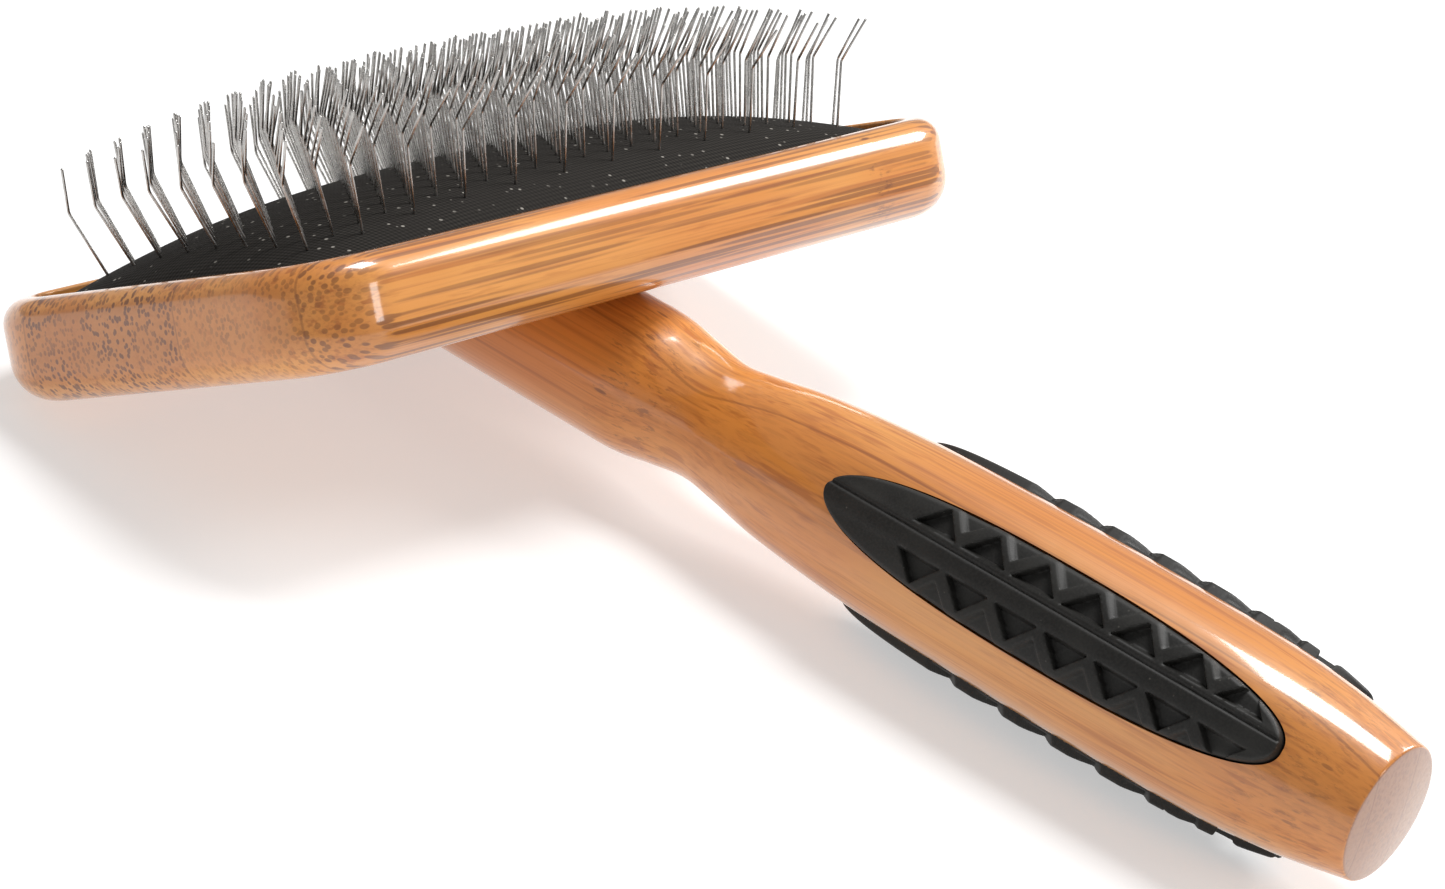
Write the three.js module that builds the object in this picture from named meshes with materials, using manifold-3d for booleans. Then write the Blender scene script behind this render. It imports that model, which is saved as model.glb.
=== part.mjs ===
// Bristle brush (slicker brush) for pet grooming. Millimetres, +Z up.
// The handle's axis lies along +X, the head's long side along Y, and the brush rests on z = 0.
import * as THREE from "three";
import { mergeVertices } from "three/addons/utils/BufferGeometryUtils.js";
import Module from "manifold-3d";

const wasm = await Module();
wasm.setup();

// ---- driving dimensions -------------------------------------------------------------------

const gap = 0.3; // glue line or clearance between neighbouring pieces
const past = 10; // how far a cutting tool runs past the piece that it cuts
const cornerSegments = 4; // half the straight pieces in a rounded corner
const weldDistance = 1e-4; // points closer than this are one point

const head = {
  length: 132,
  width: 68.5,
  thickness: 14,
  cornerRadius: 13,
  topRound: 3.5,
  topRoundSegments: 5,
  bottomRound: 5.7,
  bottomRoundSegments: 6,
  rim: 4.6,
  recessDepth: 7.6,
  seatDepth: 0.6, // how far the handle is let into the head's back
};
const headTiltDegrees = 29.4; // between the head's plane and the handle's axis
const headTilt = THREE.MathUtils.degToRad(headTiltDegrees);
const seatOffset = 1.1; // from the middle of the head to the handle's axis, along the underside

// The handle's outline: distance along its axis from the seat, then its radius.
const handle = {
  tailDome: 0.9,
  domeRing: [0.6, 0.7], // a point on the dome, as shares of the tail's radius and of the dome's height
  outline: [
    [-14, 10.4],
    [17, 10.4],
    [26, 10.3],
    [32, 9.35],
    [38.2, 8.6],
    [44.5, 9.4],
    [54, 10.85],
    [72, 12.1],
    [98, 12.5],
    [122, 12.2],
    [135, 11.15],
    [145.8, 9.2],
  ],
  stations: 17,
  segments: 32,
};

const grip = {
  middleAt: 99.8,
  length: 70,
  width: 12.7,
  proud: 1.4,
  depth: 2.2,
  fullness: 2.4, // 2 is an ellipse, and more is nearer to a rectangle
  segments: 28, // round the grip's edge
  turns: { grip_left: 60, grip_right: -60, grip_under: 180 }, // degrees about the handle, from the top
};
// The tread on a grip: a groove along it, and on each side triangular pockets between zigzag ribs.
const tread = {
  depth: 1.2,
  grooveWidth: 0.5,
  grooveAt: 0.9, // off the middle of the grip
  firstAt: -21.2,
  pitch: 7.77,
  repeats: 7,
  pocket: [
    [0, 2],
    [6.2, 2],
    [3.1, 5.2],
  ],
  notch: [
    [6.5, 3.6],
    [9.7, 6.8],
    [3.3, 6.8],
  ],
};

const pad = {
  gap: 0.4, // between the pad's edge and the wall of the recess
  edgeDrop: 3.2, // how far the pad's edge sits below the rim
  rise: 10.9,
  thickness: 2.2,
  acrossPower: 2,
  alongPower: 3,
  flatness: 0.6,
  cellsAcross: 14,
  cellsAlong: 18,
};

const pins = {
  rows: 17,
  rowSpacing: 2.75,
  perRow: 23, // in every other row; the rows between have one fewer
  pitch: 4.78,
  wireRadius: 0.3,
  lower: 9.4,
  upper: 7,
  bend: THREE.MathUtils.degToRad(31),
  splayX: 0.75, // share of the pad's slope that a pin follows
  splayY: 1.15,
  lean: 0.08, // of every pin along the row
  barWidth: 0.9,
  barDepth: 1,
  barSegments: 10,
  barEase: 1.3,
};

const screw = {
  radius: 2,
  headRadius: 4,
  headEdge: 0.5,
  headHeight: 2.4,
  length: 15.5,
  slot: 1.2,
  segments: 16,
  places: [1, 13], // along X from the middle of the head
};

const bamboo = new THREE.MeshStandardMaterial({ color: 0xdcb27a, roughness: 0.35 });
const bambooTurned = new THREE.MeshStandardMaterial({ color: 0xd9ad72, roughness: 0.32 });
const blackRubber = new THREE.MeshStandardMaterial({ color: 0x1b1b1c, roughness: 0.75 });
const padRubber = new THREE.MeshStandardMaterial({ color: 0x121213, roughness: 0.9 });
const foam = new THREE.MeshStandardMaterial({ color: 0x3a3a3c, roughness: 1 });
const steel = new THREE.MeshStandardMaterial({ color: 0xc4c6c9, roughness: 0.3, metalness: 1 });

// ---- joining and cutting ------------------------------------------------------------------

function toSolid(geometry) {
  const bare = geometry.clone();
  bare.deleteAttribute("normal");
  bare.deleteAttribute("uv");
  const merged = mergeVertices(bare, weldDistance);
  return new wasm.Manifold(
    new wasm.Mesh({
      numProp: 3,
      vertProperties: new Float32Array(merged.attributes.position.array),
      triVerts: new Uint32Array(merged.index.array),
    }),
  );
}

function toGeometry(solid) {
  const mesh = solid.getMesh();
  const geometry = new THREE.BufferGeometry();
  geometry.setAttribute("position", new THREE.BufferAttribute(mesh.vertProperties, 3));
  geometry.setIndex(new THREE.BufferAttribute(mesh.triVerts, 1));
  geometry.computeVertexNormals();
  return geometry;
}

function named(name, solid, material) {
  const mesh = new THREE.Mesh(toGeometry(solid), material);
  mesh.name = name;
  return mesh;
}

function boxSolid(sizeX, sizeY, sizeZ, x, y, z) {
  return toSolid(new THREE.BoxGeometry(sizeX, sizeY, sizeZ).translate(x, y, z));
}

// ---- the head -----------------------------------------------------------------------------

function roundedRectangle(width, length, radius) {
  const [x, y] = [width / 2, length / 2];
  const shape = new THREE.Shape();
  shape.moveTo(-x + radius, -y);
  shape.absarc(x - radius, -y + radius, radius, -Math.PI / 2, 0);
  shape.absarc(x - radius, y - radius, radius, 0, Math.PI / 2);
  shape.absarc(-x + radius, y - radius, radius, Math.PI / 2, Math.PI);
  shape.absarc(-x + radius, -y + radius, radius, Math.PI, 1.5 * Math.PI);
  return shape;
}

// The head's block, from its back up past its rim, with the edge of the back rounded over.
function roundedBlock(round, bevelSegments) {
  const outline = roundedRectangle(
    head.width - 2 * round,
    head.length - 2 * round,
    head.cornerRadius - round,
  );
  const settings = {
    depth: head.thickness + past,
    bevelThickness: round,
    bevelSize: round,
    bevelSegments,
    curveSegments: cornerSegments,
  };
  const block = new THREE.ExtrudeGeometry(outline, settings);
  return toSolid(block.translate(0, 0, round - head.thickness));
}

function plainBlock(width, length, radius, bottom, top) {
  const outline = roundedRectangle(width, length, radius);
  const settings = { depth: top - bottom, bevelEnabled: false, curveSegments: cornerSegments };
  return toSolid(new THREE.ExtrudeGeometry(outline, settings).translate(0, 0, bottom));
}

// The top of the rim is z = 0 in the head's own frame, and the pins point to +Z.
function buildHeadFrame() {
  const { width, length, cornerRadius, thickness, rim } = head;
  const lower = roundedBlock(head.bottomRound, head.bottomRoundSegments);
  const upper = roundedBlock(head.topRound, head.topRoundSegments)
    .rotate([180, 0, 0])
    .translate([0, 0, -thickness]);
  const recess = plainBlock(
    width - 2 * rim,
    length - 2 * rim,
    cornerRadius - rim,
    -head.recessDepth,
    past,
  );
  const seatSlab = boxSolid(width, length, past, 0, 0, head.seatDepth - thickness - past / 2);
  const seat = inHeadFrame(handleSolid(gap)).intersect(seatSlab);
  let block = lower.intersect(upper).subtract(recess).subtract(seat);
  for (const place of screw.places) {
    block = block.subtract(screwSolid(place, gap));
  }
  return named("head_frame", block, bamboo);
}

// ---- the cushion and its pins ---------------------------------------------------------------

const padHalfWidth = head.width / 2 - head.rim - pad.gap;
const padHalfLength = head.length / 2 - head.rim - pad.gap;

function padHeight(x, y) {
  const across = 1 - Math.min(1, Math.abs(x / padHalfWidth)) ** pad.acrossPower;
  const along = 1 - Math.min(1, Math.abs(y / padHalfLength)) ** pad.alongPower;
  return -pad.edgeDrop + pad.rise * (across * along) ** pad.flatness;
}

function padSlope(x, y) {
  const step = 0.5; // short against the dome
  return [
    (padHeight(x + step, y) - padHeight(x - step, y)) / (2 * step),
    (padHeight(x, y + step) - padHeight(x, y - step)) / (2 * step),
  ];
}

// A slab whose top and bottom faces follow the pad's dome, or stay flat, at the given heights.
function domedSlab(topAt, bottomAt) {
  const depth = 1;
  const slab = new THREE.BoxGeometry(
    2 * padHalfWidth,
    2 * padHalfLength,
    depth,
    pad.cellsAcross,
    pad.cellsAlong,
    1,
  );
  const points = slab.attributes.position;
  for (let i = 0; i < points.count; i += 1) {
    // Cells are narrower towards the edges, where the dome is steepest.
    const x = padHalfWidth * Math.sin(((points.getX(i) / padHalfWidth) * Math.PI) / 2);
    const y = padHalfLength * Math.sin(((points.getY(i) / padHalfLength) * Math.PI) / 2);
    points.setXYZ(i, x, y, points.getZ(i) > 0 ? topAt(x, y) : bottomAt(x, y));
  }
  const outline = plainBlock(
    2 * padHalfWidth,
    2 * padHalfLength,
    head.cornerRadius - head.rim - pad.gap,
    -head.thickness,
    pad.rise + past,
  );
  return toSolid(slab).intersect(outline);
}

function buildPad() {
  let slab = domedSlab(padHeight, (x, y) => padHeight(x, y) - pad.thickness);
  for (let row = 0; row < pins.rows; row += 1) {
    slab = slab.subtract(rowStrip(row, pins.barWidth + 2 * gap, past, -pins.barDepth - gap, gap));
  }
  return named("pad_foundation", slab, padRubber);
}

function buildFoam() {
  const floor = -head.recessDepth + gap;
  const ceiling = (x, y) => padHeight(x, y) - pad.thickness - 2 * gap;
  return named("cushion_foam", domedSlab(ceiling, () => floor), foam);
}

function rowX(row) {
  return (row - (pins.rows - 1) / 2) * pins.rowSpacing;
}

// Neighbouring rows stand half a pitch apart. The outermost rows have only every other pin.
function rowPins(row) {
  const outermost = row === 0 || row === pins.rows - 1;
  const count = row % 2 === 0 ? pins.perRow - 1 : pins.perRow;
  const places = Array.from({ length: count }, (_, i) => (i - (count - 1) / 2) * pins.pitch);
  return outermost ? places.filter((_, i) => i % 2 === 1) : places;
}

// A narrow strip along a row that follows the dome between two heights above the pad's surface.
function rowStrip(row, width, top, bottom, extra) {
  const reach = ((pins.perRow - 1) * pins.pitch) / 2 + pins.barWidth + extra;
  const strip = new THREE.BoxGeometry(width, 2 * reach, 1, 1, pins.barSegments, 1);
  const points = strip.attributes.position;
  for (let i = 0; i < points.count; i += 1) {
    // Steps are shorter towards the ends of the row, where the dome is steepest.
    const y = (reach * Math.sin((points.getY(i) / reach) * pins.barEase)) / Math.sin(pins.barEase);
    const level = padHeight(rowX(row), y) + (points.getZ(i) > 0 ? top : bottom);
    points.setXYZ(i, points.getX(i) + rowX(row), y, level);
  }
  return toSolid(strip);
}

// A wire that runs straight from its root to its knee, and straight on from there to its tip.
class BentWire extends THREE.Curve {
  constructor(root, knee, tip) {
    super();
    this.ends = [root, knee, tip];
  }

  getPoint(t, target = new THREE.Vector3()) {
    const [root, knee, tip] = this.ends;
    if (2 * t < 1) {
      return target.lerpVectors(root, knee, 2 * t);
    }
    return target.lerpVectors(knee, tip, 2 * t - 1);
  }

  getPointAt(u, target) {
    return this.getPoint(u, target);
  }

  getTangentAt(u, target) {
    return this.getTangent(u, target);
  }
}

// Three sides are enough for a wire as thin as this.
const wireCorners = [0, 1, 2].map((corner) => {
  const angle = (corner * 2 * Math.PI) / 3;
  return new THREE.Vector2(pins.wireRadius * Math.cos(angle), pins.wireRadius * Math.sin(angle));
});
const wireSection = new THREE.Shape(wireCorners);

// The lower part of a pin leans out with the dome, and the upper part is bent towards the handle.
function pinSolid(x, y) {
  const [slopeX, slopeY] = padSlope(x, y);
  const [leanX, leanY] = [-slopeX * pins.splayX, -slopeY * pins.splayY - pins.lean];
  const upright = new THREE.Vector3(leanX, leanY, 1).normalize();
  const bent = upright.clone().applyAxisAngle(new THREE.Vector3(0, 1, 0), pins.bend);
  const surface = new THREE.Vector3(x, y, padHeight(x, y));
  const root = surface.clone().addScaledVector(upright, -pins.barDepth / 2);
  const knee = surface.clone().addScaledVector(upright, pins.lower);
  const tip = knee.clone().addScaledVector(bent, pins.upper);
  const settings = { steps: 2, bevelEnabled: false, extrudePath: new BentWire(root, knee, tip) };
  return toSolid(new THREE.ExtrudeGeometry(wireSection, settings));
}

function buildPinRow(row) {
  const strip = rowStrip(row, pins.barWidth, 0, -pins.barDepth, 0);
  const wires = rowPins(row).map((y) => pinSolid(rowX(row), y));
  const solid = wires.reduce((joined, wire) => joined.add(wire), strip);
  return named(`pin_row_${String(row + 1).padStart(2, "0")}`, solid, steel);
}

// ---- the screws between the head and the handle ---------------------------------------------

// A countersunk screw along -Z, its head flush with the floor of the recess, grown by a clearance.
function screwSolid(place, clearance) {
  const floor = -head.recessDepth;
  const outline = [
    [0, floor + clearance],
    [screw.headRadius + clearance, floor + clearance],
    [screw.headRadius + clearance, floor - screw.headEdge],
    [screw.radius + clearance, floor - screw.headHeight - clearance],
    [screw.radius + clearance, floor - screw.length + screw.radius - clearance],
    [0, floor - screw.length - clearance],
  ];
  return turned(outline, screw.segments).translate([place, 0, 0]);
}

// A solid turned about Z from points that each give a radius and a height, the axis at both ends.
function turned(outline, segments) {
  const points = outline.map(([radius, height]) => new THREE.Vector2(radius, height)).reverse();
  return toSolid(new THREE.LatheGeometry(points, segments)).rotate([90, 0, 0]);
}

function buildScrew(index) {
  const place = screw.places[index];
  const slot = boxSolid(past, screw.slot, screw.headHeight, place, 0, -head.recessDepth);
  return named(`handle_screw_${index + 1}`, screwSolid(place, 0).subtract(slot), steel);
}

// ---- the handle and its grips ----------------------------------------------------------------

const handlePoints = handle.outline.map(([along, radius]) => new THREE.Vector2(radius, along));
const handleCurve = new THREE.SplineCurve(handlePoints);

// The handle's turned shape about +X, everywhere thicker or thinner than the wood by an offset.
function handleSolid(offset) {
  const points = handleCurve.getSpacedPoints(handle.stations);
  const side = points.map((point) => [point.x + offset, point.y]);
  side[0][1] -= offset;
  const [, nose] = side[0];
  const [tailRadius, tail] = side[handle.stations];
  const [ringRadius, ringHeight] = handle.domeRing;
  const dome = [
    [0, tail + handle.tailDome],
    [tailRadius * ringRadius, tail + handle.tailDome * ringHeight],
  ];
  return turned([...dome, ...side.reverse(), [0, nose]], handle.segments).rotate([0, 90, 0]);
}

// These carry a solid between the head's frame and the handle's, whose origin is the seat's middle.
function inHandleFrame(solid) {
  const seated = solid.translate([-seatOffset, 0, head.thickness]);
  return seated.rotate([0, -headTiltDegrees, 0]);
}

function inHeadFrame(solid) {
  return solid.rotate([0, headTiltDegrees, 0]).translate([seatOffset, 0, -head.thickness]);
}

// The grip's plan, a full oval about its middle.
function gripPrism(growth) {
  const [halfLength, halfWidth] = [grip.length / 2 + growth, grip.width / 2 + growth];
  const outline = Array.from({ length: grip.segments }, (_, i) => {
    const angle = (i * 2 * Math.PI) / grip.segments;
    const along = Math.sign(Math.cos(angle)) * Math.abs(Math.cos(angle)) ** (2 / grip.fullness);
    const across = Math.sign(Math.sin(angle)) * Math.abs(Math.sin(angle)) ** (2 / grip.fullness);
    return new THREE.Vector2(halfLength * along, halfWidth * across);
  });
  return raised(new THREE.Shape(outline)).translate([grip.middleAt, 0, 0]);
}

// A prism that stands on the handle's axis and runs up past its surface.
function raised(outline) {
  const settings = { depth: 2 * past, bevelEnabled: false };
  return toSolid(new THREE.ExtrudeGeometry(outline, settings));
}

function buildHandle() {
  const { width, thickness, seatDepth } = head;
  const pocket = gripPrism(gap).subtract(handleSolid(-grip.depth - gap));
  const above = boxSolid(width, width, width, 0, 0, width / 2 - thickness + seatDepth - gap);
  let wood = handleSolid(0).subtract(inHandleFrame(above));
  for (const turn of Object.values(grip.turns)) {
    wood = wood.subtract(pocket.rotate([turn, 0, 0]));
  }
  for (const place of screw.places) {
    wood = wood.subtract(inHandleFrame(screwSolid(place, gap)));
  }
  return named("handle", wood, bambooTurned);
}

function polygon(points, shiftX, mirror) {
  const corners = points.map(([x, y]) => new THREE.Vector2(x + shiftX, y * mirror));
  return new THREE.Shape(mirror > 0 ? corners : corners.reverse());
}

// Everything that the tread cuts away, before it is stopped at the tread's depth.
function treadCuts() {
  let cuts = boxSolid(grip.length, tread.grooveWidth, 2 * past, grip.middleAt, tread.grooveAt, past);
  for (let i = 0; i < tread.repeats; i += 1) {
    const along = grip.middleAt + tread.firstAt + i * tread.pitch;
    for (const side of [-1, 1]) {
      cuts = cuts.add(raised(polygon(tread.pocket, along, side)));
      cuts = cuts.add(raised(polygon(tread.notch, along, side)));
    }
  }
  return cuts;
}

function buildGrips() {
  const blank = gripPrism(0).intersect(handleSolid(grip.proud)).subtract(handleSolid(-grip.depth));
  const carved = blank.subtract(treadCuts().subtract(handleSolid(grip.proud - tread.depth)));
  return Object.entries(grip.turns).map(([name, turn]) => {
    return named(name, carved.rotate([turn, 0, 0]), blackRubber);
  });
}

// ---- the brush -------------------------------------------------------------------------------

function buildHead() {
  const group = new THREE.Group();
  group.add(buildHeadFrame(), buildFoam(), buildPad());
  for (let row = 0; row < pins.rows; row += 1) {
    group.add(buildPinRow(row));
  }
  screw.places.forEach((_, index) => group.add(buildScrew(index)));
  return group;
}

const headGroup = buildHead();
headGroup.rotation.y = -headTilt;
headGroup.position.set(-seatOffset, 0, head.thickness).applyEuler(headGroup.rotation);

const brush = new THREE.Group();
brush.add(headGroup, buildHandle(), ...buildGrips());

// Stand it on z = 0 with the middle of its footprint at the origin.
const extent = new THREE.Box3().setFromObject(brush, true);
const middle = extent.getCenter(new THREE.Vector3());
brush.position.set(-middle.x, -middle.y, -extent.min.z);

export default brush;
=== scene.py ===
"""A bristle brush for pet grooming: bamboo head and handle, domed cushion of bent wire pins, rubber grips.

Everything is in metres. The head's pieces are made in the head's own frame (X towards the handle, Y along
the head, Z the way the pins point, the rim's top at zero) and the handle's in the handle's (X along its
axis from the seat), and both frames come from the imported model.
"""

from math import cos, pi, radians, sin, sqrt

import bpy
import numpy as np
from mathutils import Matrix, Vector


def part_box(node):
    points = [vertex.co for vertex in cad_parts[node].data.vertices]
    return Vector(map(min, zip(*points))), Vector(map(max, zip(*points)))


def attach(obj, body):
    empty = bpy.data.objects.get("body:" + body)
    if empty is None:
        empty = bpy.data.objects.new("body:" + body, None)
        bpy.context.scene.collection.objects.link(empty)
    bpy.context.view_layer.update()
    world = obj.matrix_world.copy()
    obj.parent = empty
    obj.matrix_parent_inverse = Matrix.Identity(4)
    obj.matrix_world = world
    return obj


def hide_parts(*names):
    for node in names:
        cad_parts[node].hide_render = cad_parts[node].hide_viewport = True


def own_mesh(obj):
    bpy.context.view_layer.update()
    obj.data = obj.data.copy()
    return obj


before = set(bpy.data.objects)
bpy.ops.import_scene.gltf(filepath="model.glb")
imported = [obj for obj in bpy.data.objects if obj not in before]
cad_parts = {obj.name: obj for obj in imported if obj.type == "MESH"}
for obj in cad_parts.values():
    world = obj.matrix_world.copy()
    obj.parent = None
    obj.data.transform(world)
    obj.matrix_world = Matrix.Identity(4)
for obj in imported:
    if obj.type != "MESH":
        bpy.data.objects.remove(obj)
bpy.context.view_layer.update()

# ---- driving dimensions, the same as the CAD model's ---------------------------------------

MM = 0.001
GAP = 0.3 * MM  # glue line or clearance between neighbouring pieces

HEAD_LENGTH = 132 * MM
HEAD_WIDTH = 68.5 * MM
HEAD_THICKNESS = 14 * MM
HEAD_CORNER = 13 * MM
HEAD_TOP_ROUND = 3.5 * MM
HEAD_BOTTOM_ROUND = 5.7 * MM
HEAD_RIM = 4.6 * MM
RIM_INNER_ROUND = 0.4 * MM
RECESS_DEPTH = 7.6 * MM
SEAT_DEPTH = 0.6 * MM
HEAD_TILT = radians(29.4)
SEAT_OFFSET = 1.1 * MM

# The handle's outline: distance along its axis from the seat, then its radius, in millimetres.
HANDLE_OUTLINE = [
    (-14, 10.4),
    (17, 10.4),
    (26, 10.3),
    (32, 9.35),
    (38.2, 8.6),
    (44.5, 9.4),
    (54, 10.85),
    (72, 12.1),
    (98, 12.5),
    (122, 12.2),
    (135, 11.15),
    (145.8, 9.2),
]
TAIL_DOME = 0.9 * MM
TAIL_ROUND = 0.5 * MM

GRIP_MIDDLE = 99.8 * MM
GRIP_LENGTH = 70 * MM
GRIP_WIDTH = 12.7 * MM
GRIP_PROUD = 1.4 * MM
GRIP_DEPTH = 2.2 * MM
GRIP_FULLNESS = 2.4  # 2 is an ellipse, and more is nearer to a rectangle
GRIP_EDGE_ROUND = 0.55 * MM
GRIP_SPINE = (0.25 * MM, 1.9 * MM)  # height and half width of the swell along the middle
GRIP_TURNS = {"grip_left": 60, "grip_right": -60, "grip_under": 180}

# The tread on a grip, in millimetres from the grip's middle.
TREAD_DEPTH = 1.2 * MM
TREAD_GROOVE = (0.9, 0.25, 0.35)  # place, half width and depth
TREAD_SOFTNESS = 0.4  # width of a pocket's sloping wall
TREAD_FIRST = -21.2
TREAD_PITCH = 7.77
TREAD_REPEATS = 7
TREAD_POCKET = [(0, 2), (6.2, 2), (3.1, 5.2)]
TREAD_NOTCH = [(6.5, 3.6), (11.7, 8.8), (1.3, 8.8)]

PAD_GAP = 0.4 * MM
PAD_EDGE_DROP = 3.2 * MM
PAD_RISE = 10.9 * MM
PAD_THICKNESS = 2.2 * MM
PAD_POWERS = (2, 3)
PAD_FLATNESS = 0.6

PIN_ROWS = 17
PIN_ROW_SPACING = 2.75 * MM
PINS_PER_ROW = 23  # in every other row; the rows between have one fewer
PIN_PITCH = 4.78 * MM
PIN_RADIUS = 0.2 * MM
PIN_LOWER = 9.4 * MM
PIN_UPPER = 7 * MM
PIN_BEND = radians(31)
PIN_BEND_RADIUS = 1.6 * MM
PIN_SPLAY = (0.75, 1.15)  # share of the pad's slope that a pin follows, across and along the head
PIN_LEAN = 0.08  # of every pin along the row
PIN_ROOT = 1.2 * MM  # how deep a wire goes into the pad
PIN_DIMPLE = (0.16 * MM, 0.6 * MM)  # depth and radius of the pad's dimple round a wire
PIN_BLUNT = 0.1 * MM  # length over which a tip narrows
PIN_TIP_RADIUS = PIN_RADIUS * 0.55
KNEE_RINGS = 6

# How uneven the wires are: the standard deviations of their direction, angles and share of length.
UPRIGHT_SPREAD = 0.006
BEND_SPREAD = radians(2)
TWIST_SPREAD = radians(4)
LOWER_SPREAD = 0.012
UPPER_SPREAD = 0.02
PIN_SEED = 7

SCREW_PLACES = (1 * MM, 13 * MM)
SCREW_LENGTH = 15.5 * MM
SCREW_POINT = 2 * MM
SCREW_HEAD_RADIUS = 4 * MM
SCREW_HEAD_EDGE = 0.5 * MM
SCREW_HEAD_DEPTH = 2.4 * MM
SCREW_SHANK_RADIUS = 2 * MM

_, handle_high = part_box("handle")
handle_reach = (HANDLE_OUTLINE[-1][0] * MM) + TAIL_DOME
handle_belly = max(radius for _, radius in HANDLE_OUTLINE) * MM
SEAT = Vector((handle_high.x - handle_reach, 0, handle_high.z - handle_belly))
HANDLE_FRAME = Matrix.Translation(SEAT)
HEAD_FRAME = (
    HANDLE_FRAME
    @ Matrix.Rotation(-HEAD_TILT, 4, "Y")
    @ Matrix.Translation((-SEAT_OFFSET, 0, HEAD_THICKNESS))
)


# ---- mesh helpers --------------------------------------------------------------------------


def mesh_piece(name, points, faces, place=Matrix.Identity(4), sharp=32):
    """An object whose points are carried from their own frame into the row frame."""
    mesh = bpy.data.meshes.new(name)
    mesh.from_pydata([tuple(p) for p in np.asarray(points)], [], faces)
    mesh.transform(place)
    mesh.validate()
    piece = bpy.data.objects.new(name, mesh)
    bpy.context.scene.collection.objects.link(piece)
    smooth_piece(piece, sharp)
    return piece


def smooth_piece(piece, sharp=32):
    piece.data.shade_smooth()
    piece.data.set_sharp_from_angle(angle=radians(sharp))


def cut(piece, *cutters):
    """Cuts the cutters out of the piece, and removes them."""
    for cutter in cutters:
        modifier = piece.modifiers.new("cut", "BOOLEAN")
        modifier.operation = "DIFFERENCE"
        modifier.solver = "EXACT"
        modifier.object = cutter
    graph = bpy.context.evaluated_depsgraph_get()
    mesh = bpy.data.meshes.new_from_object(piece.evaluated_get(graph))
    piece.modifiers.clear()
    piece.data = mesh
    for cutter in cutters:
        bpy.data.objects.remove(cutter)
    smooth_piece(piece)
    return piece


def bridge(rings, size):
    """Quads between neighbouring rings of the given size, whose points follow one another."""
    faces = []
    for ring in range(rings - 1):
        for i in range(size):
            a, b = ring * size + i, ring * size + (i + 1) % size
            faces.append((a, b, b + size, a + size))
    return faces


def arc(middle, radius, start, end, steps):
    """Points on a quarter or other arc, as (first, second) coordinates, angles in degrees."""
    angles = np.radians(np.linspace(start, end, steps + 1))
    return [(middle[0] + radius * cos(a), middle[1] + radius * sin(a)) for a in angles]


def turned(outline, segments):
    """Points and faces of a solid turned about X. The outline gives (along, radius) between the axis ends."""
    angles = np.linspace(0, 2 * pi, segments, endpoint=False)
    rings = [
        np.stack([np.full(segments, x), r * np.cos(angles), r * np.sin(angles)], 1)
        for x, r in outline[1:-1]
    ]
    points = np.concatenate(rings + [[(outline[0][0], 0, 0)], [(outline[-1][0], 0, 0)]])
    count = len(rings)
    faces = bridge(count, segments)
    start, end = count * segments, count * segments + 1
    last = (count - 1) * segments
    for i in range(segments):
        j = (i + 1) % segments
        faces.append((start, j, i))
        faces.append((end, last + i, last + j))
    return points, faces


def plate(along, half_width, across, top, bottom, bottom_steps=8):
    """Points and faces of a solid on a plan that is as wide at each station as half_width says.

    across runs from -1 to 1 over the width, and top and bottom give heights for arrays of (x, y).
    """
    lower = np.linspace(-1, 1, bottom_steps + 1)
    x_top, y_top = np.meshgrid(along, across, indexing="ij")
    x_low, y_low = np.meshgrid(along, lower, indexing="ij")
    width = half_width(along)[:, None]
    y_top, y_low = y_top * width, y_low * width
    upper_points = np.stack([x_top, y_top, top(x_top, y_top)], -1).reshape(-1, 3)
    lower_points = np.stack([x_low, y_low, bottom(x_low, y_low)], -1).reshape(-1, 3)
    n, m, k, base = len(along), len(across), len(lower), len(upper_points)
    faces = []
    for i in range(n - 1):
        for j in range(m - 1):
            a = i * m + j
            faces.append((a, a + m, a + m + 1, a + 1))
        for j in range(k - 1):
            a = base + i * k + j
            faces.append((a, a + 1, a + k + 1, a + k))
        near, near_low = i * m, base + i * k
        faces.append((near, near_low, near_low + k, near + m))
        far, far_low = i * m + m - 1, base + i * k + k - 1
        faces.append((far, far + m, far_low + k, far_low))
    for i in (0, n - 1):
        end = [i * m + j for j in range(m)] + [base + i * k + j for j in reversed(range(k))]
        faces.append(tuple(end if i == 0 else reversed(end)))
    return np.concatenate([upper_points, lower_points]), faces


# ---- the head ------------------------------------------------------------------------------


def rounded_ring(inset, height, corner_steps=18, side_steps=10):
    """A rounded rectangle inside the head's outline by an inset, at a height."""
    x, y = HEAD_WIDTH / 2 - inset, HEAD_LENGTH / 2 - inset
    radius = HEAD_CORNER - inset
    corners = [(x, -y, -90), (x, y, 0), (-x, y, 90), (-x, -y, 180)]
    ring = []
    for corner_x, corner_y, start in corners:
        middle = (corner_x - np.sign(corner_x) * radius, corner_y - np.sign(corner_y) * radius)
        ring += arc(middle, radius, start, start + 90, corner_steps)
    points = []
    for a, b in zip(ring, ring[1:] + ring[:1]):
        steps = side_steps if np.hypot(b[0] - a[0], b[1] - a[1]) > radius else 1
        for step in range(steps):
            share = step / steps
            points.append((a[0] + (b[0] - a[0]) * share, a[1] + (b[1] - a[1]) * share, height))
    return points


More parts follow.
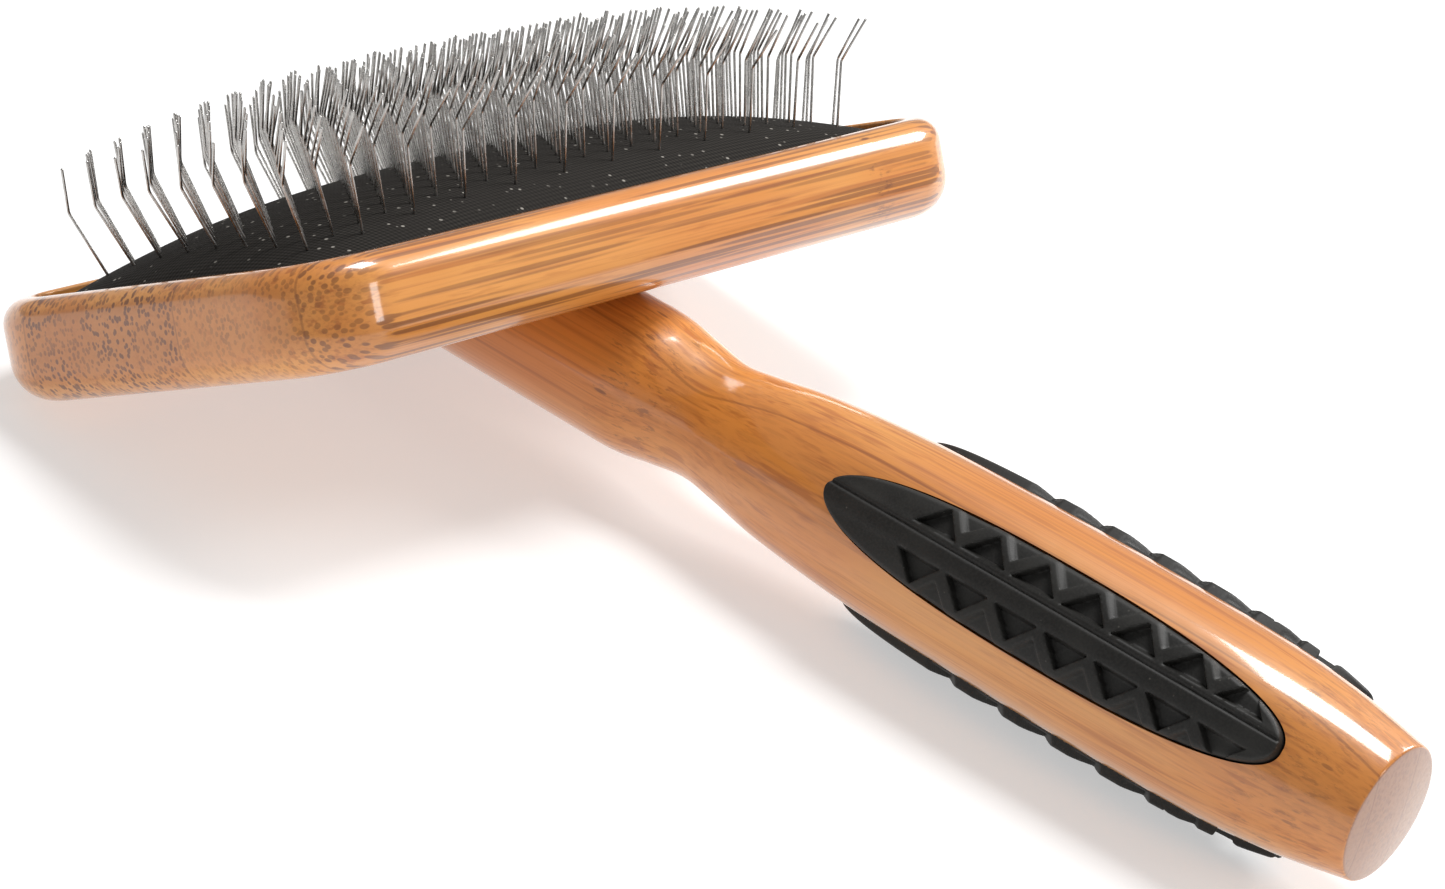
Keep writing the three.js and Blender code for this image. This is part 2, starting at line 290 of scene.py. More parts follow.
def head_profile():
    """(inset, height) from the middle of the back, round the outside, and down into the recess."""
    t, b, r = HEAD_TOP_ROUND, HEAD_BOTTOM_ROUND, RIM_INNER_ROUND
    support = 0.3 * MM
    lower = arc((b, b - HEAD_THICKNESS), b, -90, -180, 12)
    upper = arc((t, -t), t, 180, 90, 7)
    inner = arc((HEAD_RIM - r, -r), r, 90, 0, 3)
    return (
        [(b + support, -HEAD_THICKNESS)]
        + lower
        + [(0, b - HEAD_THICKNESS + support), (0, -t - support)]
        + upper
        + [(t + support, 0), (HEAD_RIM - r - support, 0)]
        + inner
        + [(HEAD_RIM, -r - support), (HEAD_RIM, -RECESS_DEPTH)]
    )


def make_head():
    rings = [rounded_ring(inset, height) for inset, height in head_profile()]
    size = len(rings[0])
    points = [point for ring in rings for point in ring]
    faces = bridge(len(rings), size)
    faces.append(tuple(reversed(range(size))))
    faces.append(tuple(range((len(rings) - 1) * size, len(rings) * size)))
    head = mesh_piece("head_frame_wood", points, faces, HEAD_FRAME)
    return cut(head, seat_cutter(), *[screw_hole(place) for place in SCREW_PLACES])


def seat_cutter():
    """The shallow pocket that the handle is let into."""
    points, faces = turned(handle_outline(GAP), 96)
    cutter = mesh_piece("seat_cutter", points, faces, HANDLE_FRAME)
    keep = block("above_seat", HEAD_LENGTH, SEAT_DEPTH - HEAD_THICKNESS, HEAD_LENGTH)
    return cut(cutter, keep)


def block(name, size, bottom, height):
    """A square block in the head's frame, from one height up by another."""
    half = size / 2
    corners = [(-half, -half), (half, -half), (half, half), (-half, half)]
    points = [(x, y, z) for z in (bottom, bottom + height) for x, y in corners]
    faces = bridge(2, 4) + [(3, 2, 1, 0), (4, 5, 6, 7)]
    return mesh_piece(name, points, faces, HEAD_FRAME)


def screw_hole(place):
    """A countersunk hole for a screw, a clearance wider than the screw."""
    above_floor = 1 * MM
    top, tip = above_floor - RECESS_DEPTH, -RECESS_DEPTH - SCREW_LENGTH - GAP
    head_radius, shank_radius = SCREW_HEAD_RADIUS + GAP, SCREW_SHANK_RADIUS + GAP
    outline = [
        (top, 0),
        (top, head_radius),
        (-RECESS_DEPTH - SCREW_HEAD_EDGE, head_radius),
        (-RECESS_DEPTH - SCREW_HEAD_DEPTH - GAP, shank_radius),
        (tip + SCREW_POINT, shank_radius),
        (tip, 0),
    ]
    points, faces = turned(list(reversed(outline)), 32)
    upright = HEAD_FRAME @ Matrix.Translation((place, 0, 0)) @ Matrix.Rotation(-pi / 2, 4, "Y")
    return mesh_piece("screw_hole", points, faces, upright)


# ---- the handle and its grips --------------------------------------------------------------


def spline(points, samples):
    """Points spaced evenly along a Catmull-Rom curve, as three.js draws its SplineCurve."""
    p = np.array(points, float)
    p = np.concatenate([p[:1], p, p[-1:]])
    curve = []
    for a, b, c, d in zip(p, p[1:], p[2:], p[3:]):
        t = np.linspace(0, 1, 40, endpoint=False)[:, None]
        curve.append(
            b + 0.5 * t * ((c - a) + t * ((2 * a - 5 * b + 4 * c - d) + t * (3 * (b - c) + d - a)))
        )
    curve = np.concatenate(curve + [p[-1:]])
    length = np.concatenate([[0], np.cumsum(np.linalg.norm(np.diff(curve, axis=0), axis=1))])
    at = np.linspace(0, length[-1], samples)
    return np.stack([np.interp(at, length, curve[:, k]) for k in range(2)], 1)


HANDLE_CURVE = spline(HANDLE_OUTLINE, 150) * MM


def wood_radius(along):
    return np.interp(along, HANDLE_CURVE[:, 0], HANDLE_CURVE[:, 1])


def handle_outline(offset):
    """The turned outline from nose to tail, everywhere thicker than the wood by an offset."""
    side = HANDLE_CURVE + [0, offset]
    side[0, 0] -= offset
    tail, radius = side[-1]
    edge = arc((tail - 0.1 * MM, radius - TAIL_ROUND), TAIL_ROUND, 80, 20, 4)
    face_radius = edge[-1][1]
    dome = [
        (edge[-1][0] + (TAIL_DOME - (edge[-1][0] - tail)) * (1 - share**2), face_radius * share)
        for share in (0.97, 0.85, 0.65, 0.4, 0.2)
    ]
    tip = tail + TAIL_DOME
    return [(side[0, 0], 0)] + [tuple(p) for p in side[:-1]] + edge + dome + [(tip, 0)]


def grip_half_width(growth=0.0):
    """The half width of a grip's full oval at each station."""
    half_length, half_width = GRIP_LENGTH / 2 + growth, GRIP_WIDTH / 2 + growth

    def at(along):
        share = np.abs((along - GRIP_MIDDLE) / half_length) ** GRIP_FULLNESS
        return half_width * np.clip(1 - share, 0, 1) ** (1 / GRIP_FULLNESS)

    return at


def grip_stations(count, growth=0.0):
    angles = np.linspace(-pi / 2, pi / 2, count)[1:-1]
    return GRIP_MIDDLE + (GRIP_LENGTH / 2 + growth) * np.sin(angles)


def over_wood(offset):
    """The height, above the handle's axis, of a turned surface off the wood by an offset."""
    return lambda x, y: np.sqrt(np.maximum((wood_radius(x) + offset) ** 2 - y**2, 0))


def about_handle(degrees):
    return HANDLE_FRAME @ Matrix.Rotation(radians(degrees), 4, "X")


def make_handle():
    points, faces = turned(handle_outline(0), 160)
    handle = mesh_piece("handle_wood", points, faces, HANDLE_FRAME)
    seat_top = SEAT_DEPTH - GAP - HEAD_THICKNESS
    cutters = [block("above_handle", HEAD_LENGTH, seat_top, HEAD_LENGTH)]
    cutters += [screw_hole(place) for place in SCREW_PLACES]
    for turn in GRIP_TURNS.values():
        plug = plate(
            grip_stations(90, GAP),
            grip_half_width(GAP),
            np.linspace(-1, 1, 13),
            over_wood(3 * MM),
            over_wood(-GRIP_DEPTH - GAP),
        )
        cutters.append(mesh_piece("pocket", *plug, about_handle(turn)))
    return cut(handle, *cutters)


def inside_polygon(x, y, corners, soft):
    """1 well inside a convex polygon and 0 outside it, with a soft edge of the given width."""
    depth = np.full(x.shape, np.inf)
    for (ax, ay), (bx, by) in zip(corners, corners[1:] + corners[:1]):
        length = np.hypot(bx - ax, by - ay)
        depth = np.minimum(depth, ((bx - ax) * (y - ay) - (by - ay) * (x - ax)) / length)
    share = np.clip(depth / soft + 0.5, 0, 1)
    return share * share * (3 - 2 * share)


def tread(x, y):
    """How deep the tread is cut at each point, x along the grip from its middle and y across it."""
    x, y = x / MM, y / MM
    deep = np.zeros(x.shape)
    for repeat in range(TREAD_REPEATS):
        start = TREAD_FIRST + repeat * TREAD_PITCH
        for corners in (TREAD_POCKET, TREAD_NOTCH):
            polygon = [(start + a, b) for a, b in corners]
            deep = np.maximum(deep, inside_polygon(x, np.abs(y), polygon, TREAD_SOFTNESS))
    place, half_width, depth = TREAD_GROOVE
    groove = depth * np.exp(-(((y - place) / half_width) ** 2))
    return TREAD_DEPTH * deep + groove * MM


def make_grip(name, turn):
    share = np.linspace(-1, 1, 69)
    across = 0.62 * share + 0.38 * np.sin(share * pi / 2)
    half_width = grip_half_width()
    spine_height, spine_half_width = GRIP_SPINE

    def top(x, y):
        to_edge = np.clip(half_width(x) - np.abs(y), 0, GRIP_EDGE_ROUND)
        fall = GRIP_EDGE_ROUND - np.sqrt(GRIP_EDGE_ROUND**2 - (GRIP_EDGE_ROUND - to_edge) ** 2)
        spine = spine_height * np.exp(-((y / spine_half_width) ** 4))
        return over_wood(GRIP_PROUD)(x, y) - fall + spine - tread(x - GRIP_MIDDLE, y)

    solid = plate(grip_stations(480), half_width, across, top, over_wood(-GRIP_DEPTH))
    return mesh_piece(name + "_rubber", *solid, about_handle(turn), sharp=50)


# ---- the cushion and its pins --------------------------------------------------------------

PAD_HALF_WIDTH = HEAD_WIDTH / 2 - HEAD_RIM - PAD_GAP
PAD_HALF_LENGTH = HEAD_LENGTH / 2 - HEAD_RIM - PAD_GAP
PAD_CORNER = HEAD_CORNER - HEAD_RIM - PAD_GAP


def dome(x, y):
    across = 1 - np.minimum(1, np.abs(x / PAD_HALF_WIDTH)) ** PAD_POWERS[0]
    along = 1 - np.minimum(1, np.abs(y / PAD_HALF_LENGTH)) ** PAD_POWERS[1]
    return PAD_RISE * (across * along) ** PAD_FLATNESS - PAD_EDGE_DROP


def dome_slope(x, y, step=0.5 * MM):
    slope_x = (dome(x + step, y) - dome(x - step, y)) / (2 * step)
    slope_y = (dome(x, y + step) - dome(x, y - step)) / (2 * step)
    return slope_x, slope_y


def row_x(row):
    return (row - (PIN_ROWS - 1) / 2) * PIN_ROW_SPACING


def row_pins(row):
    """Neighbouring rows stand half a pitch apart. The outermost rows have only every other pin."""
    count = PINS_PER_ROW - 1 + row % 2
    places = (np.arange(count) - (count - 1) / 2) * PIN_PITCH
    return places[1::2] if row in (0, PIN_ROWS - 1) else places


def pad_half_width(along):
    past = np.clip(np.abs(along) - (PAD_HALF_LENGTH - PAD_CORNER), 0, PAD_CORNER)
    return PAD_HALF_WIDTH - PAD_CORNER + np.sqrt(PAD_CORNER**2 - past**2)


def eased(count):
    """From -1 to 1, in steps that get shorter towards both ends."""
    share = np.linspace(-1, 1, count)
    return 0.5 * share + 0.5 * np.sin(share * pi / 2)


# plate() runs along its X, and the pad's long side is the head's Y.
LONG_SIDE = Matrix.Rotation(pi / 2, 4, "Z")


def make_pad():
    pins = [(row_x(row), y) for row in range(PIN_ROWS) for y in row_pins(row)]
    depth, radius = PIN_DIMPLE

    def top(along, across):
        x, y = -across, along
        height = dome(x, y)
        for pin_x, pin_y in pins:
            height -= depth * np.exp(-((x - pin_x) ** 2 + (y - pin_y) ** 2) / radius**2)
        return height

    def bottom(along, across):
        return dome(-across, along) - PAD_THICKNESS

    along = PAD_HALF_LENGTH * eased(300)
    solid = plate(along, pad_half_width, eased(150), top, bottom, bottom_steps=40)
    return mesh_piece("pin_pad", *solid, HEAD_FRAME @ LONG_SIDE)


def make_foam():
    def top(along, across):
        return dome(-across, along) - PAD_THICKNESS - 2 * GAP

    def bottom(along, across):
        return np.full(along.shape, GAP - RECESS_DEPTH)

    solid = plate(PAD_HALF_LENGTH * eased(90), pad_half_width, eased(46), top, bottom)
    return mesh_piece("cushion_foam_block", *solid, HEAD_FRAME @ LONG_SIDE)


def unit(vectors):
    return vectors / np.linalg.norm(vectors, axis=-1, keepdims=True)


def make_pin_row(row, chance):
    """One row of bent wires, each a round tube with a rounded knee and a blunted tip."""
    y = row_pins(row)
    x = np.full(y.shape, row_x(row))
    slope_x, slope_y = dome_slope(x, y)
    count = len(y)
    lean_x, lean_y = -slope_x * PIN_SPLAY[0], -slope_y * PIN_SPLAY[1] - PIN_LEAN
    upright = unit(np.stack([lean_x, lean_y, np.ones(count)], 1))
    upright = unit(upright + chance.normal(0, UPRIGHT_SPREAD, (count, 3)))
    bend = PIN_BEND + chance.normal(0, BEND_SPREAD, count)
    twist = chance.normal(0, TWIST_SPREAD, count)
    sideways = np.stack([np.cos(twist), np.sin(twist), np.zeros(count)], 1)
    sideways = unit(sideways - upright * np.sum(sideways * upright, 1, keepdims=True))
    flat = np.cross(upright, sideways)
    lower = PIN_LOWER * (1 + chance.normal(0, LOWER_SPREAD, count))
    upper = PIN_UPPER * (1 + chance.normal(0, UPPER_SPREAD, count))
    root = np.stack([x, y, dome(x, y)], 1) - upright * PIN_ROOT
    knee_length = PIN_BEND_RADIUS * np.tan(bend / 2)

    path, heading = [root], [upright]
    start = root + upright * (PIN_ROOT + lower - knee_length)[:, None]
    middle = start + sideways * PIN_BEND_RADIUS
    for share in np.linspace(0, 1, KNEE_RINGS):
        angle = (share * bend)[:, None]
        outward = upright * np.sin(angle) - sideways * np.cos(angle)
        path.append(middle + outward * PIN_BEND_RADIUS)
        heading.append(upright * np.cos(angle) + sideways * np.sin(angle))
    knee_end, tip_heading = path[-1], heading[-1]
    for reach in (-PIN_BLUNT, 0):
        path.append(knee_end + tip_heading * (upper - knee_length + reach)[:, None])
        heading.append(tip_heading)
    radii = [PIN_RADIUS] * (len(path) - 1) + [PIN_TIP_RADIUS]
    return tubes(f"pins_{row + 1:02d}", path, heading, flat, radii)


def tubes(name, path, heading, flat, radii, sides=8):
    """Round wires side by side: path and heading hold, for each ring, every wire's point and direction."""
    turn = np.linspace(0, 2 * pi, sides, endpoint=False)
    rings = []
    for point, direction, radius in zip(path, heading, radii):
        other = np.cross(flat, direction)
        circle = flat[:, None] * np.cos(turn)[:, None] + other[:, None] * np.sin(turn)[:, None]
        rings.append(point[:, None] + circle * radius)
    grid = np.stack(rings, 1)
    wires, count = grid.shape[:2]
    faces = []
    for wire in range(wires):
        first = wire * count * sides
        faces += [tuple(first + i for i in face) for face in bridge(count, sides)]
        faces.append(tuple(first + i for i in reversed(range(sides))))
        faces.append(tuple(first + (count - 1) * sides + i for i in range(sides)))
    return mesh_piece(name, grid.reshape(-1, 3), faces, HEAD_FRAME, sharp=60)


# ---- materials -----------------------------------------------------------------------------


class Shader:
    """A node material with short calls for the nodes that are used here."""

    def __init__(self, name):
        self.material = bpy.data.materials.new(name)
        self.material.use_nodes = True
        self.tree = self.material.node_tree
        self.surface = self.tree.nodes["Principled BSDF"]

    def connect(self, socket, value):
        if isinstance(value, bpy.types.NodeSocket):
            self.tree.links.new(value, socket)
        else:
            socket.default_value = value

    def node(self, kind, inputs, output=0, **settings):
        """A node with its settings and inputs set, by name or by number. Returns one of its outputs."""
        made = self.tree.nodes.new(kind)
        for key, value in settings.items():
            setattr(made, key, value)
        for key, value in inputs.items():
            self.connect(made.inputs[key], value)
        return made.outputs[output]

    def set(self, inputs):
        for key, value in inputs.items():
            self.connect(self.surface.inputs[key], value)

    def math(self, operation, *values):
        return self.node("ShaderNodeMath", dict(enumerate(values)), operation=operation)

    def vector(self, operation, *values):
        return self.node("ShaderNodeVectorMath", dict(enumerate(values)), operation=operation)

    def blend(self, share, first, second):
        """A number between two others."""
        return self.node("ShaderNodeMix", {"Factor": share, "A": first, "B": second})

    def mix(self, share, first, second):
        """A colour between two others."""
        inputs = {"Factor": share, 6: first, 7: second}
        return self.node("ShaderNodeMix", inputs, output=2, data_type="RGBA")

    def shift(self, value, low, high, to_low=0.0, to_high=1.0):
        """Carries a value smoothly from one range to another."""
        inputs = {"Value": value, 1: low, 2: high, 3: to_low, 4: to_high}
        return self.node("ShaderNodeMapRange", inputs, interpolation_type="SMOOTHSTEP")

    def noise(self, at, scale, detail, roughness=0.5):
        inputs = {"Vector": at, "Scale": scale, "Detail": detail, "Roughness": roughness}
        return self.node("ShaderNodeTexNoise", inputs)

    def cells(self, at, scale):
        """Distance from the nearest of many scattered points."""
        return self.node("ShaderNodeTexVoronoi", {"Vector": at, "Scale": scale}, output="Distance")

    def place(self, turn=0.0, origin=(0, 0, 0)):
        """The surface's own place in millimetres, in a frame turned about Y and set at an origin."""
        at = self.node("ShaderNodeTexCoord", {}, output="Object")
        inputs = {"Vector": at, "Location": origin, "Rotation": (0, turn, 0)}
        at = self.node("ShaderNodeMapping", inputs, vector_type="TEXTURE")
        return self.vector("MULTIPLY", at, (1 / MM, 1 / MM, 1 / MM))

    def stretched(self, at, x, y, z):
        return self.vector("MULTIPLY", at, (x, y, z))

    def parts(self, at):
        made = self.tree.nodes.new("ShaderNodeSeparateXYZ")
        self.tree.links.new(at, made.inputs[0])
        return made.outputs

    def bump(self, height, distance, strength, before=None):
        inputs = {"Height": height, "Distance": distance, "Strength": strength}
        if before is not None:
            inputs["Normal"] = before
        return self.node("ShaderNodeBump", inputs)


def rgb(r, g, b):
    return (r, g, b, 1.0)


def darker(colour, share):
    return (colour[0] * share, colour[1] * share, colour[2] * share, 1.0)


# The colours of the bamboo: its two ground tones, its fibres, the marks at its nodes, and its cut ends.
PALE = rgb(0.75, 0.32, 0.068)
ORANGE = rgb(0.67, 0.235, 0.036)
DARK = rgb(0.40, 0.105, 0.012)
MARK = rgb(0.15, 0.04, 0.01)
HEAD_END = rgb(0.60, 0.20, 0.028)
HANDLE_END = rgb(0.24, 0.11, 0.06)

# The bamboo's strips, side by side across the grain: the place of the strip's far side in millimetres,
# how crowded its fibres are, and how dark it is. The last one runs past the edge of the piece.
HEAD_STRIPS = [(-21, 0.6, 0.06), (8, 1.0, 0.25), (29, 0.5, 0.06), (99, 0.85, 0.0)]
HANDLE_STRIPS = [(-5, 0.15, 0.0), (3.5, 0.3, 0.12), (99, 0.15, 0.0)]

# The cane's nodes: place along the grain and half width in millimetres, and strength.
HEAD_NODES = [(43, 3, 0.9)]
HANDLE_NODES = [(30, 9, 0.7), (137, 9, 0.5)]

DUST = rgb(0.16, 0.15, 0.13)
LINT = rgb(0.3, 0.28, 0.25)
WEAVE_PITCH = 0.95  # millimetres


def gap_from(s, value, place):
    return s.math("ABSOLUTE", s.math("SUBTRACT", value, place))


def node_marks(s, at, grain, places):
    """Where short dark scratches and pits lie, in a band at each of the cane's nodes."""
    bands = 0.0
    scratches = s.shift(s.noise(at, 1.0, 4.0, 0.7), 0.53, 0.66, 0.0, 0.7)
    pits = s.shift(s.cells(at, 0.42), 0.17, 0.10)
    for place, width, weight in places:
        band = s.shift(gap_from(s, grain, place), width, width * 0.4, 0.0, weight)
        bands = s.math("MAXIMUM", bands, band)
    return s.math("MULTIPLY", bands, s.math("MAXIMUM", scratches, pits))


def strip_values(s, across, strips):
    """How crowded and how dark the strip at each place is, and where the lines between strips run."""
    crowd, tone, border = strips[0][1], strips[0][2], 0.0
    for (place, _, _), (_, next_crowd, next_tone) in zip(strips, strips[1:]):
        beyond = s.math("GREATER_THAN", across, place)
        crowd = s.blend(beyond, crowd, next_crowd)
        tone = s.blend(beyond, tone, next_tone)
        border = s.math("MAXIMUM", border, s.shift(gap_from(s, across, place), 0.22, 0.05))
    return crowd, tone, border


def fibre_dots(s, along_fibre, patches, crowd):
    """Dark bundles of fibre, as strong as the strip is crowded, and thinner in some patches."""
    dots = s.shift(s.cells(s.stretched(along_fibre, 1.0, 1.0, 0.8), 1.5), 0.5, 0.34)
    thin_out = s.shift(s.noise(patches, 0.12, 2.0), 0.36, 0.6)
    thin_out = s.math("MULTIPLY_ADD", thin_out, 0.5, 0.5)
    return s.math("MULTIPLY", s.math("MULTIPLY", dots, crowd), thin_out)


def bamboo(name, turn, origin, along_y, strips, nodes, end):
    """Laminated bamboo. Its fibres run along the grain, and show as dots where they are cut."""
    s = Shader(name)
    at = s.place(turn, origin)
    x, y, _ = s.parts(at)
    grain, across = (y, x) if along_y else (x, y)

    def drawn_out(share, scale=1.0):
        return s.stretched(at, *((scale, share, scale) if along_y else (share, scale, scale)))

    wavy = s.math("MULTIPLY_ADD", s.noise(at, 0.04, 1.0), 1.4, across)
    crowd, tone, border = strip_values(s, wavy, strips)
    long_fibre = drawn_out(0.012)
    dots = fibre_dots(s, long_fibre, drawn_out(0.02), crowd)
    fine = s.noise(long_fibre, 1.7, 3.0, 0.65)
    streak = s.noise(drawn_out(0.01), 0.9, 2.0, 0.6)
    short = s.shift(s.noise(drawn_out(0.09), 0.9, 3.0, 0.6), 0.56, 0.68)
    patch = s.noise(drawn_out(0.4), 0.05, 2.0)

    # From the broad patches to the fine fibres, then cut ends, and the dark dots, glue lines and marks.
    colour = s.mix(s.shift(patch, 0.35, 0.65), PALE, ORANGE)
    colour = s.mix(s.shift(fine, 0.45, 0.72, 0.0, 0.4), colour, DARK)
    colour = s.mix(s.shift(streak, 0.56, 0.66, 0.0, 0.6), colour, DARK)
    colour = s.mix(s.math("MULTIPLY", short, 0.3), colour, DARK)
    facing = s.parts(s.node("ShaderNodeTexCoord", {}, output="Normal"))[1 if along_y else 0]
    cut_end = s.shift(s.math("ABSOLUTE", facing), 0.75, 0.97, 0.0, 0.7)
    colour = s.mix(cut_end, colour, end)
    toned = s.math("MULTIPLY", tone, s.math("MULTIPLY_ADD", cut_end, 0.9, 0.3))
    colour = s.mix(toned, colour, darker(DARK, 0.8))
    colour = s.mix(s.math("MULTIPLY", dots, 0.85), colour, darker(DARK, 0.35))
    colour = s.mix(s.math("MULTIPLY", border, 0.45), colour, darker(DARK, 0.5))
    marks = node_marks(s, drawn_out(0.3, 1.3), grain, nodes)
    colour = s.mix(marks, colour, MARK)

    normal = s.bump(fine, 0.03 * MM, 0.3)
    normal = s.bump(s.noise(at, 0.12, 2.0), 0.25 * MM, 0.35, normal)
    s.set({"Base Color": colour, "Roughness": s.shift(fine, 0.3, 0.8, 0.36, 0.48), "Normal": normal})
    s.set({"Coat Weight": 1.0, "Coat Roughness": 0.09, "Coat IOR": 1.5})
    return s.material


def rubber():
    s = Shader("rubber_grip")
    at = s.place()
    grit = s.noise(at, 3.2, 3.0, 0.6)
    broad = s.noise(at, 0.12, 2.0)
    colour = s.mix(s.shift(grit, 0.35, 0.7), rgb(0.010, 0.0095, 0.0085), rgb(0.020, 0.019, 0.017))
    colour = s.mix(s.shift(broad, 0.35, 0.65, 0.0, 0.5), colour, rgb(0.026, 0.025, 0.022))
    dust = s.shift(s.cells(at, 0.55), 0.09, 0.04)
    colour = s.mix(s.math("MULTIPLY", dust, 0.35), colour, DUST)
    s.set(
        {
            "Base Color": colour,
            "Roughness": s.shift(broad, 0.3, 0.7, 0.5, 0.6),
            "Specular IOR Level": 0.3,
            "Normal": s.bump(grit, 0.04 * MM, 0.5),
        }
    )
    return s.material


def pad_cloth():
    """Black cloth-faced rubber: a fine diagonal weave with pale specks of lint."""
    s = Shader("pad_weave")
    at = s.place(-HEAD_TILT, HEAD_FRAME.translation)
    x, y, _ = s.parts(at)
    turns_per_mm = sqrt(0.5) / WEAVE_PITCH
    threads = []
    for sign in (1, -1):
        phase = s.math("MULTIPLY", s.math("MULTIPLY_ADD", y, sign, x), 2 * pi * turns_per_mm)
        threads.append(s.math("SINE", phase))
    weave = s.math("MULTIPLY_ADD", s.math("MULTIPLY", *threads), 0.5, 0.5)
    broad = s.noise(at, 0.1, 2.0)
    colour = s.mix(weave, rgb(0.004, 0.0035, 0.003), rgb(0.03, 0.026, 0.022))
    colour = s.mix(s.shift(broad, 0.35, 0.65, 0.0, 0.5), colour, rgb(0.016, 0.0135, 0.0115))
    lint = s.shift(s.cells(at, 0.55), 0.17, 0.09)
    rare = s.shift(s.noise(at, 0.5, 1.0), 0.4, 0.55)
    colour = s.mix(s.math("MULTIPLY", lint, rare), colour, LINT)
    s.set({"Base Color": colour, "Roughness": 0.85, "Normal": s.bump(weave, 0.12 * MM, 0.8)})
    s.set({"Specular IOR Level": 0.15})
    return s.material


def foam_cells():
    s = Shader("foam_cells")
    at = s.place()
    cells = s.cells(at, 1.6)
    colour = s.mix(s.shift(cells, 0.1, 0.6), rgb(0.012, 0.012, 0.013), rgb(0.05, 0.05, 0.052))
    s.set({"Base Color": colour, "Roughness": 0.95, "Normal": s.bump(cells, 0.2 * MM, 0.8)})
    return s.material


def steel(name, tone, roughness):
    """Drawn or turned steel, faintly uneven, with a little grime."""
    s = Shader(name)
    at = s.place()
    uneven = s.noise(at, 0.5, 3.0, 0.6)
    colour = s.mix(s.shift(uneven, 0.3, 0.7), rgb(*(c * 0.72 for c in tone)), rgb(*tone))
    rough = s.shift(uneven, 0.3, 0.7, roughness, roughness + 0.12)
    normal = s.bump(s.noise(at, 4.0, 2.0), 0.02 * MM, 0.4)
    s.set({"Base Color": colour, "Metallic": 1.0, "Roughness": rough, "Normal": normal})
    return s.material


def floor_paint():
    s = Shader("pale_floor")
    uneven = s.noise(s.place(), 0.004, 2.0)
    s.set({"Base Color": s.mix(uneven, rgb(0.53, 0.53, 0.53), rgb(0.57, 0.57, 0.57)), "Roughness": 0.6})
    s.set({"Emission Color": rgb(1, 1, 1), "Emission Strength": 0.48})
    return s.material


# ---- putting the brush together --------------------------------------------------------------


def finish_piece(piece, body, slot, material, *nodes):
    piece.data.materials.clear()
    piece.data.materials.append(material)
    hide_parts(*nodes)
    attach(piece, body)
    return piece


head_origin = HEAD_FRAME.translation
head_bamboo = bamboo("bamboo_head", -HEAD_TILT, head_origin, True, HEAD_STRIPS, HEAD_NODES, HEAD_END)
handle_bamboo = bamboo("bamboo_handle", 0, SEAT, False, HANDLE_STRIPS, HANDLE_NODES, HANDLE_END)

finish_piece(make_head(), "brush", "bamboo_head", head_bamboo, "head_frame")
finish_piece(make_handle(), "brush", "bamboo_handle", handle_bamboo, "handle")

grip_rubber = rubber()
for grip_name, grip_turn in GRIP_TURNS.items():
    finish_piece(make_grip(grip_name, grip_turn), "brush", "grip_rubber", grip_rubber, grip_name)

pad = finish_piece(make_pad(), "pad", "pad_rubber", pad_cloth(), "pad_foundation")

foam = finish_piece(make_foam(), "brush", "foam", foam_cells(), "cushion_foam")
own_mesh(foam)

pin_steel = steel("pin_steel", (0.60, 0.585, 0.565), 0.2)
chance = np.random.default_rng(PIN_SEED)
for pin_row in range(PIN_ROWS):
    row_name = f"pin_row_{pin_row + 1:02d}"
    finish_piece(make_pin_row(pin_row, chance), "pad", "pin_steel", pin_steel, row_name)

screw_steel = steel("screw_steel", (0.55, 0.53, 0.5), 0.35)
for screw_name in ("handle_screw_1", "handle_screw_2"):
    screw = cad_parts[screw_name]
    screw.data.materials.clear()
    screw.data.materials.append(screw_steel)


# ---- floor, light and camera -----------------------------------------------------------------


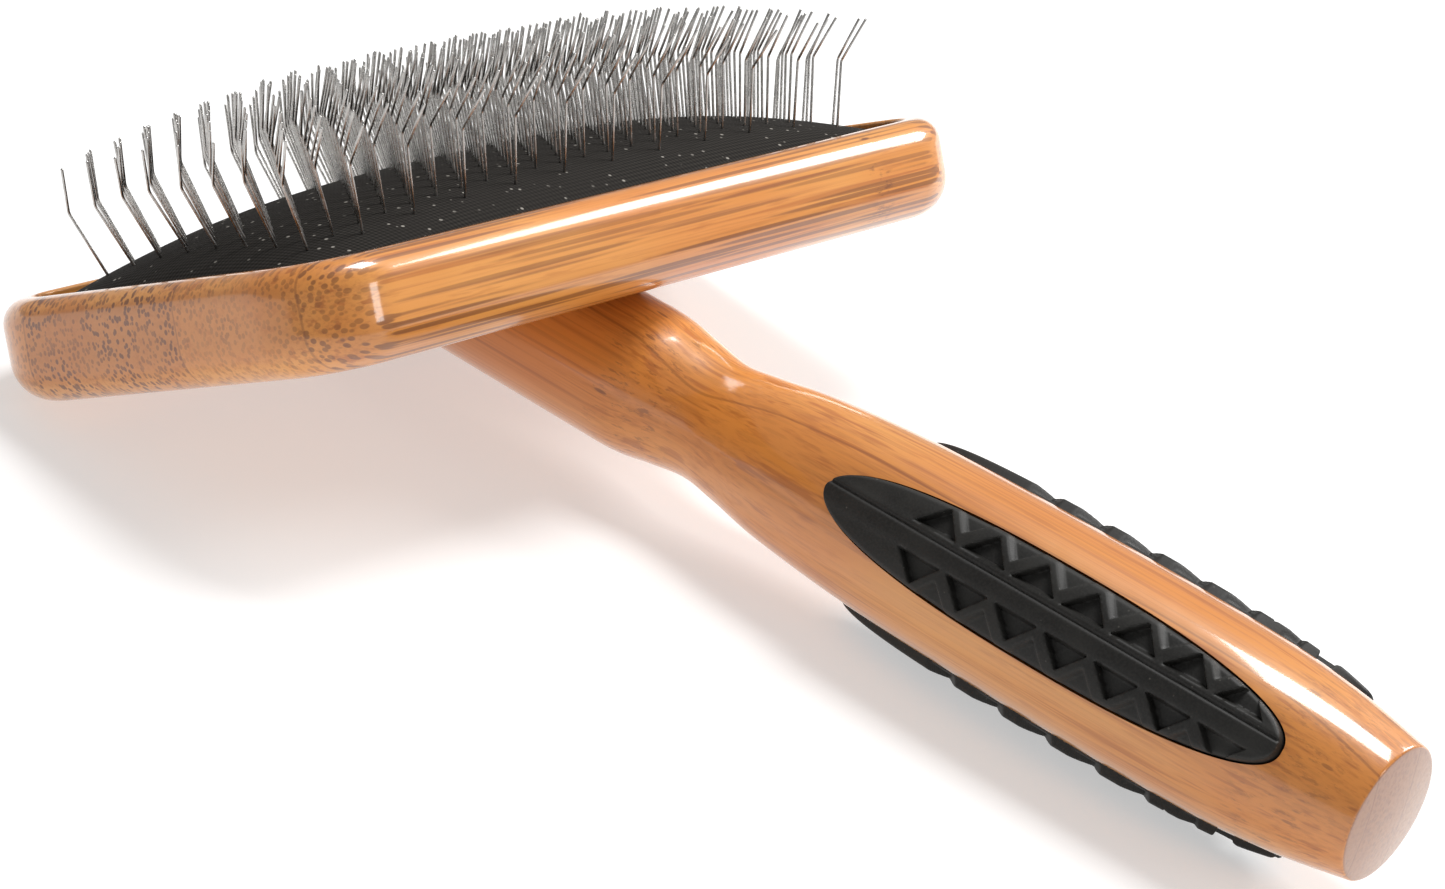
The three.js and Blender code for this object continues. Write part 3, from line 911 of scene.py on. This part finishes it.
def make_floor():
    half = 3.0  # metres
    points = [(-half, -half, 0), (half, -half, 0), (half, half, 0), (-half, half, 0)]
    floor = mesh_piece("floor", points, [(0, 1, 2, 3)])
    floor.data.materials.append(floor_paint())


def area_light(name, azimuth, elevation, distance, size, power):
    """A soft square light that looks at the brush's middle from a direction, in degrees."""
    aim = Vector((0, 0, 0.03))
    light = bpy.data.lights.new(name, "AREA")
    light.size = size
    light.energy = power
    a, e = radians(azimuth), radians(elevation)
    toward = Vector((cos(e) * cos(a), cos(e) * sin(a), sin(e)))
    lamp = bpy.data.objects.new(name, light)
    lamp.location = aim + toward * distance
    lamp.rotation_euler = toward.to_track_quat("Z", "Y").to_euler()
    bpy.context.scene.collection.objects.link(lamp)


def make_world(strength):
    world = bpy.data.worlds.new("studio")
    world.use_nodes = True
    background = world.node_tree.nodes["Background"]
    background.inputs["Color"].default_value = rgb(1, 1, 1)
    background.inputs["Strength"].default_value = strength
    bpy.context.scene.world = world


def make_camera():
    """The camera looks at the head along a direction given in the head's frame."""
    azimuth, elevation, roll = radians(48.076), radians(6.926), radians(10.241)
    distance, aside, above = 0.549, 0.032075, -0.033128
    toward = Vector((cos(elevation) * cos(azimuth), -cos(elevation) * sin(azimuth), sin(elevation)))
    right = Vector((sin(azimuth), cos(azimuth), 0))
    up = toward.cross(right)
    turned_right = right * cos(roll) - up * sin(roll)
    turned_up = right * sin(roll) + up * cos(roll)
    place = toward * distance + turned_right * aside + turned_up * above
    axes = Matrix((turned_right, turned_up, toward)).transposed().to_4x4()
    data = bpy.data.cameras.new("camera")
    data.sensor_width = 36
    data.lens = 99.654
    data.clip_start = 0.01
    camera = bpy.data.objects.new("camera", data)
    camera.matrix_world = HEAD_FRAME @ Matrix.Translation(place) @ axes
    bpy.context.scene.collection.objects.link(camera)
    bpy.context.scene.camera = camera


make_floor()
make_world(strength=0.34)
area_light("key", azimuth=110, elevation=74, distance=1.1, size=0.4, power=10)
area_light("side", azimuth=76, elevation=34, distance=1.3, size=0.5, power=11)
area_light("glint", azimuth=12, elevation=24, distance=1.3, size=0.22, power=1.3)
make_camera()
bpy.context.scene.view_settings.view_transform = "Standard"
